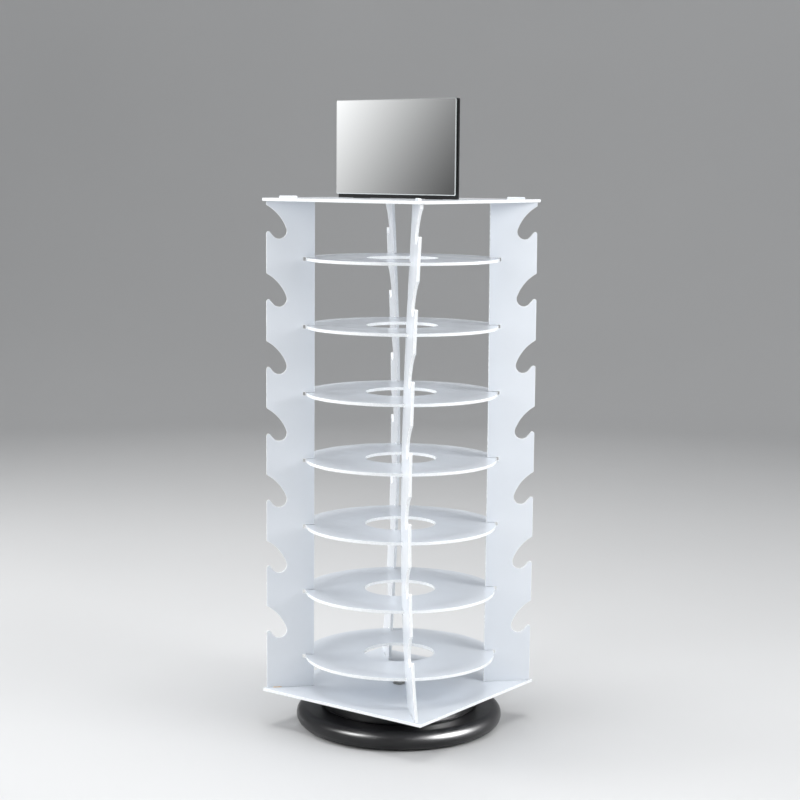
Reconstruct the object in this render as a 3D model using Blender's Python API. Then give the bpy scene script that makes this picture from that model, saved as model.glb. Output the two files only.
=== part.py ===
"""Rotating display rack: a square tower of white sheet fins and rings on a black round turntable."""

import math

import bmesh
import bpy
from mathutils import Matrix, Vector

MM = 0.001

# Sheet work
SHEET = 3.0
GAP = 0.3
RUNNING_GAP = 0.1
PLATE_SIDE = 200.0
PLATE_CORNER = 1.0
BOTTOM_PLATE_UNDER = 37.0
TOP_PLATE_UNDER = 537.0

# Turntable
BASE_RADIUS = 106.0
BASE_DECK = 20.0
BASE_WALL = 2.5
RIM_WIDE = 9.0
RIM_TALL = 9.5
RIM_FOOT_ANGLE = -60.0
RIM_INSIDE = 103.3
RIM_INSIDE_ROUND = 6.0
COVER_SEAT = 5.2
COVER_REBATE = 1.2
COVER_THICK = 2.0
COVER_HOLE = 7.5
DISC_RADIUS = 80.0
DISC_UNDER = 20.6
DISC_TOP = 35.9
DISC_DECK = 2.2
DISC_WALL = 3.0
DISC_SHOULDER = 6.0
DISC_CHAMFER = 1.0
SLEEVE_LIFT = 0.2
TAPE_THICK = 0.5
TAPE_INNER = 50.0
TAPE_OUTER = 68.0
FEET = 4
FOOT_RADIUS = 9.0
FOOT_HEIGHT = 1.7
FOOT_CHAMFER = 0.5
FOOT_CIRCLE = 84.0

# Ball bearing
BALLS = 12
BALL_RADIUS = 3.0
BALL_CIRCLE = 40.0
BALL_HEIGHT = 27.0
RACE_HALF_WIDTH = 6.0
RACE_HEIGHT = 4.5
CAGE_THICK = 1.6
CAGE_HALF_WIDTH = 4.8

# Pivot bolt, M6
BOLT_RADIUS = 3.0
BOLT_POINT = 0.8
BOLT_PROUD = 1.5
HEX_ACROSS = 10.0
HEAD_HEIGHT = 4.0
NUT_HEIGHT = 5.0
NUT_CLEARANCE = 0.15
WASHER_RADIUS = 6.0
WASHER_THICK = 1.2
BOSS_RADIUS = 9.0
BOSS_UNDER = 11.0

# Rings
RING_COUNT = 7
RING_FIRST = 72.0
RING_PITCH = 67.9
RING_RADIUS = 97.5
RING_HOLE = 36.0

# Fins
FIN_INNER = 88.5
FIN_OUTER = 137.0
FIN_SLOT_END = 100.2
TAB_INNER = 106.0
TAB_OUTER = 124.0
TAB_CHAMFER = 1.5
TAB_PROUD = 2.2
HOOK_ABOVE_RING = 27.6
HOOK_ROUND = 2.0
HOOK_ROUND_END = 40.0
NOTCH_DEPTH = 20.5
NOTCH_ROUND = 7.8
NOTCH_ROUND_HEIGHT = 0.4
NOTCH_ROUND_START = 218.0
NOTCH_WALL = 44.0
NOTCH_WALL_START = 21.0

# Mirror
MIRROR_WIDE = 148.0
MIRROR_TALL = 94.0
MIRROR_UNDER = 544.0
MIRROR_FACE = 15.0
MIRROR_GLASS = 3.0
MIRROR_CORNER = 1.5
MIRROR_TAPE_MARGIN = 8.0
BACKING_THICK = 2.7
BACKING_TAB_WIDE = 20.0
BACKING_TAB_APART = 90.0

ROUND_STEPS = 48
SMALL_STEPS = 24
BALL_STEPS = 10
POCKET_STEPS = 12
SMOOTH_BELOW = 32.0

FIN_ANGLES = {
    "fin_front_right": -45.0,
    "fin_back_right": 45.0,
    "fin_back_left": 135.0,
    "fin_front_left": -135.0,
}

# The fins stand to one side of the plates' diagonals, all the same way round.
FIN_ASIDE = -2.6

# How far each thin fin is bowed sideways where it bows most, and at what share of its height
# that is. Its two ends are straight.
FIN_BOWS = {
    "fin_front_right": (-8.7, 0.42),
    "fin_back_right": (-4.0, 0.5),
    "fin_back_left": (-8.0, 0.5),
    "fin_front_left": (0.0, 0.5),
}

# Heights above each ring where a bowed fin's mesh is cut, so that it bends smoothly.
BOW_CUTS = (10.0, 35.0, 60.0)

MATERIALS = {
    "white_acrylic": ((0.80, 0.84, 0.87), 0.16, 0.0),
    "gloss_black": ((0.012, 0.012, 0.014), 0.12, 0.0),
    "matte_black": ((0.02, 0.02, 0.022), 0.55, 0.0),
    "rubber": ((0.025, 0.025, 0.025), 0.85, 0.0),
    "zinc_steel": ((0.42, 0.42, 0.40), 0.32, 1.0),
    "race_steel": ((0.55, 0.56, 0.58), 0.28, 1.0),
    "ball_steel": ((0.75, 0.76, 0.78), 0.08, 1.0),
    "cage_nylon": ((0.70, 0.68, 0.60), 0.50, 0.0),
    "tape_foam": ((0.55, 0.55, 0.55), 0.90, 0.0),
    "mirror_silver": ((0.88, 0.89, 0.90), 0.03, 1.0),
}


def clear_scene():
    for item in list(bpy.data.objects):
        bpy.data.objects.remove(item, do_unlink=True)


def material(name, node_name):
    """A Principled material of this object's own, from the shared table of colours."""
    colour, roughness, metallic = MATERIALS[name]
    made = bpy.data.materials.new(node_name + "_" + name)
    made.use_nodes = True
    shader = made.node_tree.nodes["Principled BSDF"]
    shader.inputs["Base Color"].default_value = (*colour, 1.0)
    shader.inputs["Roughness"].default_value = roughness
    shader.inputs["Metallic"].default_value = metallic
    made.diffuse_color = (*colour, 1.0)
    return made


def add_object(name, mesh_data, look, parent):
    """Links a finished bmesh as an object, with its faces turned outward."""
    bmesh.ops.recalc_face_normals(mesh_data, faces=mesh_data.faces[:])
    mesh = bpy.data.meshes.new(name)
    mesh_data.to_mesh(mesh)
    mesh_data.free()
    mesh.shade_smooth()
    mesh.set_sharp_from_angle(angle=math.radians(SMOOTH_BELOW))
    mesh.materials.append(material(look, name))
    made = bpy.data.objects.new(name, mesh)
    bpy.context.scene.collection.objects.link(made)
    made.parent = parent
    return made


def add_axis(name, height):
    """An empty on the turning axis, which carries the pieces that turn together."""
    made = bpy.data.objects.new(name, None)
    made.location = (0.0, 0.0, height * MM)
    bpy.context.scene.collection.objects.link(made)
    return made


def arc(centre, radius, start, end, steps):
    """Points along a circular arc, angles in degrees, both ends included."""
    points = []
    for index in range(steps + 1):
        angle = math.radians(start + (end - start) * index / steps)
        points.append((centre[0] + radius * math.cos(angle), centre[1] + radius * math.sin(angle)))
    return points


def circle(centre, radius, steps):
    return arc(centre, radius, 0.0, 360.0 * (steps - 1) / steps, steps - 1)


def rounded_box(width, depth, corner, centre=(0.0, 0.0), steps=4):
    """A rectangle with round corners, anticlockwise."""
    points = []
    for index, (side_x, side_y) in enumerate(((1, 1), (-1, 1), (-1, -1), (1, -1))):
        middle = (
            centre[0] + side_x * (width / 2.0 - corner),
            centre[1] + side_y * (depth / 2.0 - corner),
        )
        points += arc(middle, corner, 90.0 * index, 90.0 * index + 90.0, steps)
    return points


def turned_slot(inner, outer, aside, half_width, angle):
    """A rectangle whose long side points outward at this angle, a little to one side of the axis."""
    turn = math.radians(angle)
    points = []
    for radius, side in ((inner, -1), (outer, -1), (outer, 1), (inner, 1)):
        across = aside + side * half_width
        points.append(
            (
                radius * math.cos(turn) - across * math.sin(turn),
                radius * math.sin(turn) + across * math.cos(turn),
            )
        )
    return points


def prism(outline, holes, low, high, plane="XY"):
    """A flat sheet: the outline less the holes, between two heights along the plane's normal."""
    made = bmesh.new()
    edges = []
    for loop in [outline, *holes]:
        corners = []
        for first, second in loop:
            if plane == "XY":
                corners.append(made.verts.new((first * MM, second * MM, low * MM)))
            else:
                corners.append(made.verts.new((first * MM, low * MM, second * MM)))
        for index, corner in enumerate(corners):
            edges.append(made.edges.new((corner, corners[(index + 1) % len(corners)])))
    bmesh.ops.triangle_fill(made, use_beauty=True, use_dissolve=False, edges=edges)
    raised = bmesh.ops.extrude_face_region(made, geom=made.faces[:])
    moved = [item for item in raised["geom"] if isinstance(item, bmesh.types.BMVert)]
    step = Vector((0.0, 0.0, (high - low) * MM)) if plane == "XY" else Vector((0.0, (high - low) * MM, 0.0))
    bmesh.ops.translate(made, verts=moved, vec=step)
    return made


def turned(profile, steps=ROUND_STEPS, offset=(0.0, 0.0)):
    """A closed (radius, height) profile taken round the axis. A radius of 0 becomes one point."""
    made = bmesh.new()
    columns = []
    for radius, height in profile:
        if radius < 1e-6:
            columns.append([made.verts.new((offset[0] * MM, offset[1] * MM, height * MM))])
            continue
        column = []
        for index in range(steps):
            angle = 2.0 * math.pi * index / steps
            column.append(
                made.verts.new(
                    (
                        (offset[0] + radius * math.cos(angle)) * MM,
                        (offset[1] + radius * math.sin(angle)) * MM,
                        height * MM,
                    )
                )
            )
        columns.append(column)
    for index, first in enumerate(columns):
        second = columns[(index + 1) % len(columns)]
        if len(first) == 1 and len(second) == 1:
            continue
        for step in range(steps):
            after = (step + 1) % steps
            if len(first) == 1:
                made.faces.new((first[0], second[step], second[after]))
            elif len(second) == 1:
                made.faces.new((first[step], second[0], first[after]))
            else:
                made.faces.new((first[step], second[step], second[after], first[after]))
    return made


def flat_ring(inner, outer, low, high):
    return turned([(inner, low), (outer, low), (outer, high), (inner, high)])


def hook_notch(level):
    """One notch in the outer edge of a fin, as (radius, height): over the round tip of the
    hook, down round the notch's bottom, and up a wide arc to its mouth in the fin's edge."""
    tip = RING_FIRST + level * RING_PITCH + HOOK_ABOVE_RING
    lip = arc((HOOK_ROUND, -HOOK_ROUND), HOOK_ROUND, 180.0, HOOK_ROUND_END, 4)
    round_centre = Vector((NOTCH_DEPTH - NOTCH_ROUND, NOTCH_ROUND_HEIGHT))
    bottom = arc(round_centre, NOTCH_ROUND, NOTCH_ROUND_START, 360.0 + NOTCH_WALL_START, 8)
    start = math.radians(NOTCH_WALL_START)
    back = Vector((math.cos(start), math.sin(start))) * (NOTCH_WALL - NOTCH_ROUND)
    wall_centre = round_centre - back
    mouth = math.degrees(math.acos(-wall_centre.x / NOTCH_WALL))
    wall = arc(wall_centre, NOTCH_WALL, NOTCH_WALL_START, mouth, 4)[1:]
    return [(FIN_OUTER - inward, tip + up) for inward, up in lip + bottom + wall]


def fin_foot():
    return BOTTOM_PLATE_UNDER + SHEET + GAP


def fin_head():
    return TOP_PLATE_UNDER - GAP


def fin_outline():
    """The whole edge of one fin: notches outside, ring slots inside, a tab at each end."""
    foot = fin_foot()
    head = fin_head()
    points = [
        (TAB_INNER, foot),
        (TAB_INNER, BOTTOM_PLATE_UNDER + GAP),
        (TAB_OUTER, BOTTOM_PLATE_UNDER + GAP),
        (TAB_OUTER, foot),
        (FIN_OUTER, foot),
    ]
    for level in range(RING_COUNT):
        points += hook_notch(level)
    crown = TOP_PLATE_UNDER + SHEET + TAB_PROUD
    points += [
        (FIN_OUTER, head),
        (TAB_OUTER, head),
        (TAB_OUTER, crown - TAB_CHAMFER),
        (TAB_OUTER - TAB_CHAMFER, crown),
        (TAB_INNER + TAB_CHAMFER, crown),
        (TAB_INNER, crown - TAB_CHAMFER),
        (TAB_INNER, head),
        (FIN_INNER, head),
    ]
    half = SHEET / 2.0 + GAP
    for level in reversed(range(RING_COUNT)):
        middle = RING_FIRST + level * RING_PITCH
        points += [
            (FIN_INNER, middle + half),
            (FIN_SLOT_END, middle + half),
            (FIN_SLOT_END, middle - half),
            (FIN_INNER, middle - half),
        ]
    points.append((FIN_INNER, foot))
    return points


def bend_fin(mesh_data, bow, fullest):
    """Shifts each level of a fin sideways: all of it to its place beside the diagonal, and its
    middle further, along a smooth bow that is fullest at this share of the fin's height."""
    skew = math.log(0.5) / math.log(fullest)
    heights = [RING_FIRST + level * RING_PITCH + cut for level in range(RING_COUNT) for cut in BOW_CUTS]
    for height in heights:
        if height > fin_head():
            continue
        parts = mesh_data.verts[:] + mesh_data.edges[:] + mesh_data.faces[:]
        place = (0.0, 0.0, height * MM)
        bmesh.ops.bisect_plane(mesh_data, geom=parts, dist=1e-7, plane_co=place, plane_no=(0.0, 0.0, 1.0))
    bmesh.ops.triangulate(mesh_data, faces=mesh_data.faces[:])
    for corner in mesh_data.verts:
        share = (corner.co.z / MM - fin_foot()) / (fin_head() - fin_foot())
        rise = min(max(share, 0.0), 1.0) ** skew
        corner.co.y += (FIN_ASIDE + bow * math.sin(math.pi * rise)) * MM


def add_fins(parent):
    for name, angle in FIN_ANGLES.items():
        sheet = prism(fin_outline(), [], -SHEET / 2.0, SHEET / 2.0, plane="XZ")
        bend_fin(sheet, *FIN_BOWS[name])
        made = add_object(name, on_axis(sheet, parent), "white_acrylic", parent)
        made.rotation_euler = (0.0, 0.0, math.radians(angle))


def on_axis(mesh_data, parent):
    """Moves a mesh drawn in world heights so that it sits right under a parent on the axis."""
    drop = Matrix.Translation((0.0, 0.0, -parent.location.z))
    bmesh.ops.transform(mesh_data, matrix=drop, verts=mesh_data.verts[:])
    return mesh_data


def add_rings(parent):
    for level in range(RING_COUNT):
        middle = RING_FIRST + level * RING_PITCH
        ring = flat_ring(RING_HOLE, RING_RADIUS, middle - SHEET / 2.0, middle + SHEET / 2.0)
        add_object("ring_%d" % (level + 1), on_axis(ring, parent), "white_acrylic", parent)


def tab_slots():
    half = SHEET / 2.0 + GAP
    inner = TAB_INNER - GAP
    outer = TAB_OUTER + GAP
    return [turned_slot(inner, outer, FIN_ASIDE, half, angle) for angle in FIN_ANGLES.values()]


def backing_middle():
    return -(MIRROR_FACE - MIRROR_GLASS - TAPE_THICK - 2.0 * GAP - BACKING_THICK / 2.0)


def add_plates(parent):
    outline = rounded_box(PLATE_SIDE, PLATE_SIDE, PLATE_CORNER)
    low = BOTTOM_PLATE_UNDER
    bolt_hole = circle((0.0, 0.0), BOLT_RADIUS + GAP, SMALL_STEPS)
    sheet = prism(outline, [*tab_slots(), bolt_hole], low, low + SHEET)
    add_object("bottom_plate", on_axis(sheet, parent), "white_acrylic", parent)
    low = TOP_PLATE_UNDER
    slots = tab_slots()
    for side in (-1.0, 1.0):
        centre = (side * BACKING_TAB_APART / 2.0, backing_middle())
        wide = BACKING_TAB_WIDE + 2.0 * GAP
        deep = BACKING_THICK + 2.0 * GAP
        slots.append(rounded_box(wide, deep, GAP / 2.0, centre, 1))
    sheet = prism(outline, slots, low, low + SHEET)
    add_object("top_plate", on_axis(sheet, parent), "white_acrylic", parent)


def add_mirror(parent):
    """A mirror glass taped to a black board whose two tabs stand in the top plate."""
    low = MIRROR_UNDER
    high = low + MIRROR_TALL
    middle = (0.0, (low + high) / 2.0)
    outline = rounded_box(MIRROR_WIDE, MIRROR_TALL, MIRROR_CORNER, middle, 3)
    front = -MIRROR_FACE
    glass = prism(outline, [], front, front + MIRROR_GLASS, plane="XZ")
    add_object("mirror_glass", on_axis(glass, parent), "mirror_silver", parent)
    start = front + MIRROR_GLASS + GAP
    margins = 2.0 * MIRROR_TAPE_MARGIN
    outline = rounded_box(MIRROR_WIDE - margins, MIRROR_TALL - margins, MIRROR_CORNER, middle, 2)
    tape = prism(outline, [], start, start + TAPE_THICK, plane="XZ")
    add_object("mirror_tape", on_axis(tape, parent), "tape_foam", parent)
    seat = TOP_PLATE_UNDER + SHEET + GAP
    tongue = TOP_PLATE_UNDER + GAP
    half = MIRROR_WIDE / 2.0
    points = arc((half - MIRROR_CORNER, high - MIRROR_CORNER), MIRROR_CORNER, 0.0, 90.0, 3)
    points += arc((-half + MIRROR_CORNER, high - MIRROR_CORNER), MIRROR_CORNER, 90.0, 180.0, 3)
    points.append((-half, seat))
    for side in (-1.0, 1.0):
        centre = side * BACKING_TAB_APART / 2.0
        left = centre - BACKING_TAB_WIDE / 2.0
        right = centre + BACKING_TAB_WIDE / 2.0
        points += [(left, seat), (left, tongue), (right, tongue), (right, seat)]
    points.append((half, seat))
    back = backing_middle()
    board = prism(points, [], back - BACKING_THICK / 2.0, back + BACKING_THICK / 2.0, plane="XZ")
    add_object("mirror_backing", on_axis(board, parent), "gloss_black", parent)


def base_profile():
    """The lower tier: a hollow round foot with a full round rim and a boss for the pivot."""
    profile = []
    for across, up in arc((0.0, 0.0), 1.0, RIM_FOOT_ANGLE, 90.0, 7):
        radius = BASE_RADIUS - RIM_WIDE * (1.0 - across)
        profile.append((radius, BASE_DECK - RIM_TALL * (1.0 - up)))
    rim_foot = profile[0][1]
    profile += [
        (BOLT_RADIUS + RUNNING_GAP, BASE_DECK),
        (BOLT_RADIUS + RUNNING_GAP, BOSS_UNDER),
        (BOSS_RADIUS, BOSS_UNDER),
        (BOSS_RADIUS, BASE_DECK - BASE_WALL),
    ]
    corner = (RIM_INSIDE - RIM_INSIDE_ROUND, BASE_DECK - BASE_WALL - RIM_INSIDE_ROUND)
    profile += arc(corner, RIM_INSIDE_ROUND, 90.0, 0.0, 3)
    profile += [(RIM_INSIDE - COVER_REBATE, COVER_SEAT), (RIM_INSIDE - COVER_REBATE, rim_foot)]
    return profile


def disc_profile():
    """The upper tier: a hollow cap with a round shoulder and a sleeve for the pivot."""
    deck = DISC_TOP - DISC_DECK
    inside = DISC_RADIUS - DISC_WALL
    sleeve_foot = DISC_UNDER + SLEEVE_LIFT
    profile = [(DISC_RADIUS - DISC_CHAMFER, DISC_UNDER), (DISC_RADIUS, DISC_UNDER + DISC_CHAMFER)]
    shoulder = (DISC_RADIUS - DISC_SHOULDER, DISC_TOP - DISC_SHOULDER)
    profile += arc(shoulder, DISC_SHOULDER, 0.0, 90.0, 4)
    profile += [
        (BOLT_RADIUS + GAP, DISC_TOP),
        (BOLT_RADIUS + GAP, sleeve_foot),
        (BOSS_RADIUS, sleeve_foot),
        (BOSS_RADIUS, deck),
        (inside - DISC_WALL, deck),
        (inside, deck - DISC_WALL),
        (inside, DISC_UNDER),
    ]
    return profile


def race_profile(flat, face, sign):
    """A square ring with a round groove. It lies on `flat`, and its groove opens at `face`."""
    groove = BALL_RADIUS + GAP
    reach = math.degrees(math.asin(abs(face - BALL_HEIGHT) / groove))
    points = [(BALL_CIRCLE - RACE_HALF_WIDTH, flat), (BALL_CIRCLE - RACE_HALF_WIDTH, face)]
    for radius, height in arc((BALL_CIRCLE, 0.0), groove, reach - 180.0, -reach, 5):
        points.append((radius, BALL_HEIGHT + sign * height))
    points += [(BALL_CIRCLE + RACE_HALF_WIDTH, face), (BALL_CIRCLE + RACE_HALF_WIDTH, flat)]
    return points


def ball_centre(index):
    angle = 2.0 * math.pi * index / BALLS
    return BALL_CIRCLE * math.cos(angle), BALL_CIRCLE * math.sin(angle)


def add_bearing(base, bearing, carousel):
    flat = BASE_DECK + GAP
    lower = turned(race_profile(flat, flat + RACE_HEIGHT, 1.0), ROUND_STEPS)
    add_object("race_lower", on_axis(lower, base), "race_steel", base)
    flat = DISC_TOP - DISC_DECK - GAP
    upper = turned(race_profile(flat, flat - RACE_HEIGHT, -1.0), ROUND_STEPS)
    add_object("race_upper", on_axis(upper, carousel), "race_steel", carousel)
    pockets = [circle(ball_centre(index), BALL_RADIUS + GAP, POCKET_STEPS) for index in range(BALLS)]
    pockets.append(circle((0.0, 0.0), BALL_CIRCLE - CAGE_HALF_WIDTH, ROUND_STEPS))
    outline = circle((0.0, 0.0), BALL_CIRCLE + CAGE_HALF_WIDTH, ROUND_STEPS)
    low = BALL_HEIGHT - CAGE_THICK / 2.0
    cage = prism(outline, pockets, low, low + CAGE_THICK)
    add_object("ball_cage", on_axis(cage, bearing), "cage_nylon", bearing)
    for index in range(BALLS):
        profile = arc((0.0, BALL_HEIGHT), BALL_RADIUS, -90.0, 90.0, 5)
        profile[0] = (0.0, BALL_HEIGHT - BALL_RADIUS)
        profile[-1] = (0.0, BALL_HEIGHT + BALL_RADIUS)
        ball = turned(profile, BALL_STEPS, ball_centre(index))
        add_object("ball_%02d" % (index + 1), on_axis(ball, bearing), "ball_steel", bearing)


def hexagon(across):
    radius = across / math.sqrt(3.0)
    return arc((0.0, 0.0), radius, 0.0, 300.0, 5)


def washer(low):
    profile = [
        (BOLT_RADIUS + GAP, low),
        (WASHER_RADIUS, low),
        (WASHER_RADIUS, low + WASHER_THICK),
        (BOLT_RADIUS + GAP, low + WASHER_THICK),
    ]
    return turned(profile, SMALL_STEPS)


def bolt(head_low, tip):
    """A hexagon head with a plain shank: head outline first, then the shank drawn out of it."""
    made = bmesh.new()
    outline = hexagon(HEX_ACROSS)
    rows = []
    for height in (head_low, head_low + HEAD_HEIGHT):
        rows.append([made.verts.new((x * MM, y * MM, height * MM)) for x, y in outline])
    made.faces.new(rows[0])
    for index in range(6):
        after = (index + 1) % 6
        made.faces.new((rows[0][index], rows[0][after], rows[1][after], rows[1][index]))
    steps = SMALL_STEPS
    levels = [
        (BOLT_RADIUS, head_low + HEAD_HEIGHT),
        (BOLT_RADIUS, tip - BOLT_POINT),
        (BOLT_RADIUS - BOLT_POINT, tip),
    ]
    columns = []
    for radius, height in levels:
        ring = circle((0.0, 0.0), radius, steps)
        columns.append([made.verts.new((x * MM, y * MM, height * MM)) for x, y in ring])
    for lower, upper in zip(columns, columns[1:]):
        for index in range(steps):
            after = (index + 1) % steps
            made.faces.new((lower[index], lower[after], upper[after], upper[index]))
    made.faces.new(columns[-1])
    per_side = steps // 6
    for side in range(6):
        after = (side + 1) % 6
        for index in range(per_side):
            first = columns[0][side * per_side + index]
            second = columns[0][(side * per_side + index + 1) % steps]
            made.faces.new((rows[1][side], second, first))
        corner = columns[0][(side + 1) * per_side % steps]
        made.faces.new((rows[1][side], rows[1][after], corner))
    return made


def nut(low):
    bore = circle((0.0, 0.0), BOLT_RADIUS + NUT_CLEARANCE, SMALL_STEPS)
    return prism(hexagon(HEX_ACROSS), [bore], low, low + NUT_HEIGHT)


def add_pivot(base, carousel):
    washer_low = BOSS_UNDER - GAP - WASHER_THICK
    add_object("washer_lower", on_axis(washer(washer_low), base), "zinc_steel", base)
    head_low = washer_low - GAP - HEAD_HEIGHT
    seat = BOTTOM_PLATE_UNDER + SHEET + GAP
    nut_low = seat + WASHER_THICK + GAP
    shaft = bolt(head_low, nut_low + NUT_HEIGHT + BOLT_PROUD)
    add_object("pivot_bolt", on_axis(shaft, carousel), "zinc_steel", carousel)
    add_object("washer_upper", on_axis(washer(seat), carousel), "zinc_steel", carousel)
    add_object("pivot_nut", on_axis(nut(nut_low), carousel), "zinc_steel", carousel)


def add_base(base):
    shell = turned(base_profile(), ROUND_STEPS)
    add_object("base_shell", on_axis(shell, base), "gloss_black", base)
    low = FOOT_HEIGHT + GAP
    cover = flat_ring(COVER_HOLE, RIM_INSIDE - COVER_REBATE - GAP, low, low + COVER_THICK)
    add_object("base_cover", on_axis(cover, base), "matte_black", base)
    for index in range(FEET):
        angle = 2.0 * math.pi * index / FEET
        spot = (FOOT_CIRCLE * math.cos(angle), FOOT_CIRCLE * math.sin(angle))
        profile = [
            (0.0, 0.0),
            (FOOT_RADIUS - FOOT_CHAMFER, 0.0),
            (FOOT_RADIUS, FOOT_CHAMFER),
            (FOOT_RADIUS, FOOT_HEIGHT),
            (0.0, FOOT_HEIGHT),
        ]
        foot = turned(profile, SMALL_STEPS, spot)
        add_object("foot_%d" % (index + 1), on_axis(foot, base), "rubber", base)


def add_turntable_disc(carousel):
    cap = turned(disc_profile(), ROUND_STEPS)
    add_object("turntable_disc", on_axis(cap, carousel), "gloss_black", carousel)
    low = DISC_TOP + GAP
    tape = flat_ring(TAPE_INNER, TAPE_OUTER, low, low + TAPE_THICK)
    add_object("plate_tape", on_axis(tape, carousel), "tape_foam", carousel)


def main():
    clear_scene()
    base = add_axis("base", 0.0)
    bearing = add_axis("bearing", BALL_HEIGHT)
    carousel = add_axis("carousel", DISC_UNDER)
    add_base(base)
    add_bearing(base, bearing, carousel)
    add_turntable_disc(carousel)
    add_pivot(base, carousel)
    add_plates(carousel)
    add_fins(carousel)
    add_rings(carousel)
    add_mirror(carousel)


main()
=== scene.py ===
"""Looks of the rotating display rack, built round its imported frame."""

import math

import bmesh
import bpy
from mathutils import Matrix, Vector


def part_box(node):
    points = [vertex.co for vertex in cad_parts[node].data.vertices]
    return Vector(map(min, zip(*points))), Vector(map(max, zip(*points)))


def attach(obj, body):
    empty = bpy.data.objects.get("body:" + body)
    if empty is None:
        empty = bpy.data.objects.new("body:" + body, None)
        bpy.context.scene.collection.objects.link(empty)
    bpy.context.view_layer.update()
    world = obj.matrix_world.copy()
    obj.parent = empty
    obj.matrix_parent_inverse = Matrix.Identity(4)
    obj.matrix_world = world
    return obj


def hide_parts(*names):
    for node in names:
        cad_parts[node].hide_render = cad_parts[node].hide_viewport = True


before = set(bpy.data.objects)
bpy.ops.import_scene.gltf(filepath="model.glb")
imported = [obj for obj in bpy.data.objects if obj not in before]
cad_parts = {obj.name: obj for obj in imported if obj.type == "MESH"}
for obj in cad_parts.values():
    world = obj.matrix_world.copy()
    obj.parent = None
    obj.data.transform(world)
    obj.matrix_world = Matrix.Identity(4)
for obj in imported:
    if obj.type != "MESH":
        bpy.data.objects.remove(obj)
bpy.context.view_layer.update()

# --------------------------------------------------------------------------------------
# Sizes, in millimetres. Places come from the frame; what a box can't say is named here.
# --------------------------------------------------------------------------------------

MM = 0.001
ROOT_TWO = math.sqrt(2.0)


def low_of(node):
    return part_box(node)[0] / MM


def high_of(node):
    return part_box(node)[1] / MM


RINGS = [f"ring_{number}" for number in range(1, 8)]
FINS = {
    "fin_front_right": -45.0,
    "fin_back_right": 45.0,
    "fin_back_left": 135.0,
    "fin_front_left": -135.0,
}
# How far each fin bows sideways where it bows most, and at what share of its height that is.
FIN_BOWS = {
    "fin_front_right": (-8.7, 0.42),
    "fin_back_right": (-4.0, 0.5),
    "fin_back_left": (-8.0, 0.5),
    "fin_front_left": (0.0, 0.5),
}

SHEET = high_of("ring_1").z - low_of("ring_1").z
GAP = 0.3
RUNNING_GAP = 0.1
FOLD = 3
BEND_STEP = 16.0

PLATE_SIDE = high_of("bottom_plate").x * 2.0
PLATE_CORNER = 1.0
BOTTOM_LOW = low_of("bottom_plate").z
BOTTOM_TOP = high_of("bottom_plate").z
TOP_LOW = low_of("top_plate").z
TOP_TOP = high_of("top_plate").z

RING_RADIUS = high_of("ring_1").x
RING_HOLE = 36.0
RING_MIDDLES = [(low_of(name).z + high_of(name).z) / 2.0 for name in RINGS]

# The front left fin is straight, so its box, read along the diagonal, gives every fin's edges.
FIN_LOW, FIN_HIGH = low_of("fin_front_left"), high_of("fin_front_left")
FIN_ASIDE = (FIN_LOW.x - FIN_LOW.y) / ROOT_TWO
FIN_OUTER = -(FIN_LOW.x + FIN_LOW.y) / ROOT_TWO - SHEET / 2.0
FIN_INNER = -(FIN_HIGH.x + FIN_HIGH.y) / ROOT_TWO + SHEET / 2.0
FIN_CROWN = FIN_HIGH.z
FIN_FOOT = FIN_LOW.z
FIN_SLOT_END = 100.2
TAB_INNER = 106.0
TAB_OUTER = 124.0
TAB_CUT = 0.7
HOOK_ABOVE_RING = 27.6
HOOK_ROUND = 2.0
NOTCH_DEPTH = 20.5
NOTCH_ROUND = 7.8
NOTCH_ROUND_UP = 0.4
NOTCH_WALL = 44.0
NOTCH_WALL_START = 21.0

BOLT_RADIUS = 3.0
BOLT_HEAD = 4.0
THREAD_LENGTH = 9.0
THREAD_PITCH = 1.0
THREAD_DEPTH = 0.45
THREAD_STEPS = 8
HEX_ACROSS = 10.0
HEX_CHAMFER_STEP = 0.35
NUT_BORE = BOLT_RADIUS + 0.15

BALLS = 12
BALL_CIRCLE = 40.0
RACE_GROOVE = 3.3
RACE_HALF_WIDTH = 6.0

TAPE_INNER = 50.0
TAPE_OUTER = 68.0


# --------------------------------------------------------------------------------------
# Outlines
# --------------------------------------------------------------------------------------


def arc(centre, radius, start, end, steps):
    """Points along a circular arc, angles in degrees, both ends included."""
    points = []
    for index in range(steps + 1):
        angle = math.radians(start + (end - start) * index / steps)
        points.append((centre[0] + radius * math.cos(angle), centre[1] + radius * math.sin(angle)))
    return points


def circle(centre, radius, steps):
    return arc(centre, radius, 0.0, 360.0 * (steps - 1) / steps, steps - 1)


def rounded(corners, degrees=9.0):
    """A closed outline from (x, y, radius) corners, each one rounded by its own radius."""
    points = []
    count = len(corners)
    for index, (x, y, radius) in enumerate(corners):
        corner = Vector((x, y))
        back = Vector(corners[index - 1][:2]) - corner
        ahead = Vector(corners[(index + 1) % count][:2]) - corner
        between = back.angle(ahead)
        if radius <= 0.0 or between > math.radians(178.0):
            points.append((x, y))
            continue
        cut = radius / math.tan(between / 2.0)
        longest = 0.49 * min(back.length, ahead.length)
        if cut > longest:
            radius *= longest / cut
            cut = longest
        middle = (back.normalized() + ahead.normalized()).normalized()
        centre = corner + middle * radius / math.sin(between / 2.0)
        first = corner + back.normalized() * cut - centre
        last = corner + ahead.normalized() * cut - centre
        start = math.atan2(first.y, first.x)
        sweep = (math.atan2(last.y, last.x) - start + math.pi) % (2.0 * math.pi) - math.pi
        steps = max(2, round(abs(math.degrees(sweep)) / degrees))
        for step in range(steps + 1):
            angle = start + sweep * step / steps
            points.append((centre.x + radius * math.cos(angle), centre.y + radius * math.sin(angle)))
    return points


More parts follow.
